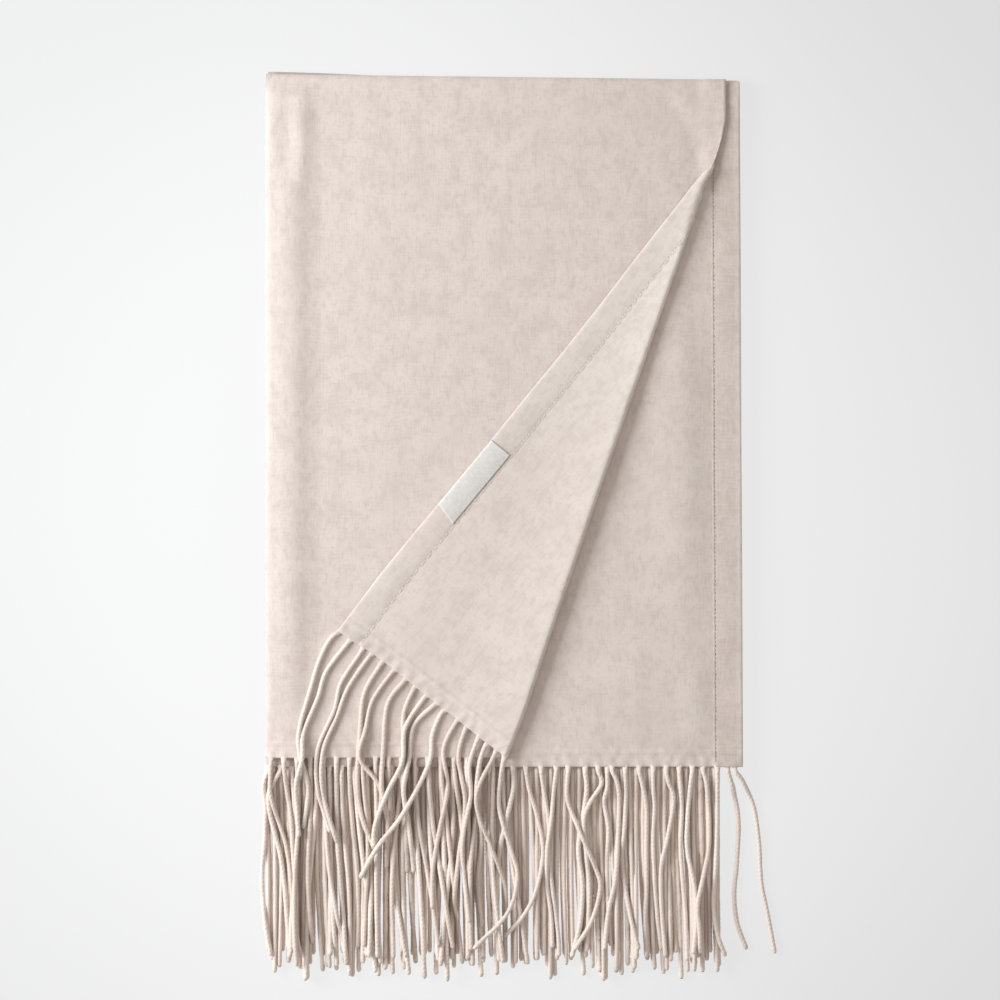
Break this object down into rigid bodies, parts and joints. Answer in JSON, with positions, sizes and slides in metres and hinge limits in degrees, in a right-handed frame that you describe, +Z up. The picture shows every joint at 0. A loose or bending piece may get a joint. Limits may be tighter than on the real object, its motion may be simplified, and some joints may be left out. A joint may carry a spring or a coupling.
{
  "type": "pashmina shawl",
  "caption": "Fringed pashmina shawl, folded flat in layers, with one corner of its top layer turned back over a soft roll.",
  "frame": {"origin": "middle of the underside's bounding box, on the surface the shawl lies on", "axes": "+X from the lengthwise fold to the open long edges, +Y from the fringe to the crosswise fold, +Z up"},
  "size_m": [0.3698, 0.668, 0.0188],
  "materials": {
    "front_layer": "soft brushed heathered oatmeal twill",
    "second_layer": "soft brushed heathered oatmeal twill, wrong side",
    "inner_layers": "soft brushed heathered oatmeal twill",
    "flap_hem": "turned and stitched hem",
    "second_hem": "turned and stitched hem",
    "label": "bare white woven label",
    "fringe_flap": "twisted yarn strands",
    "fringe_front": "twisted yarn strands",
    "fringe_second": "twisted yarn strands",
    "fringe_third": "twisted yarn strands",
    "fringe_fourth": "twisted yarn strands"
  },
  "bodies": {
    "root": {"front_layer": "front_layer", "second_layer": "second_layer", "inner_layers": "inner_layers", "flap_hem": "flap_hem", "second_hem": "second_hem", "label": "label", "fringe_flap": "fringe_flap", "fringe_front": "fringe_front", "fringe_second": "fringe_second", "fringe_third": "fringe_third", "fringe_fourth": "fringe_fourth"}
  },
  "joints": []
}
